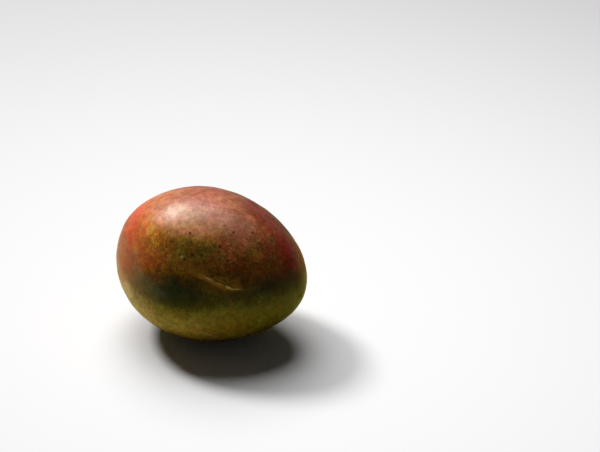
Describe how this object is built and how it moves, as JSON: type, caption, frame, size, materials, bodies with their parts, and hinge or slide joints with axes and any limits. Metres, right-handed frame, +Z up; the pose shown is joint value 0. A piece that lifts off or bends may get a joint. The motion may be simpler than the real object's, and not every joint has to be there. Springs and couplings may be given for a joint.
{
  "type": "mango",
  "caption": "Whole ripe mango lying on its side, with a shallow stem cavity, a woody stalk remnant, a small raised tip and a crease in the skin.",
  "frame": {"origin": "on the surface the fruit rests on, under the middle of its bounding box", "axes": "+Z up; +X along the fruit's long axis from the stem end to the tip; +Y across the fruit, from its fuller near edge to its back edge"},
  "size_m": [0.1152, 0.0886, 0.0897],
  "materials": {
    "skin": "smooth waxy skin, satin gloss, red-orange blush over olive green",
    "stalk": "dry woody stalk, matt dark brown"
  },
  "bodies": {
    "root": {"fruit": "skin", "stem_stub": "stalk"}
  },
  "joints": []
}
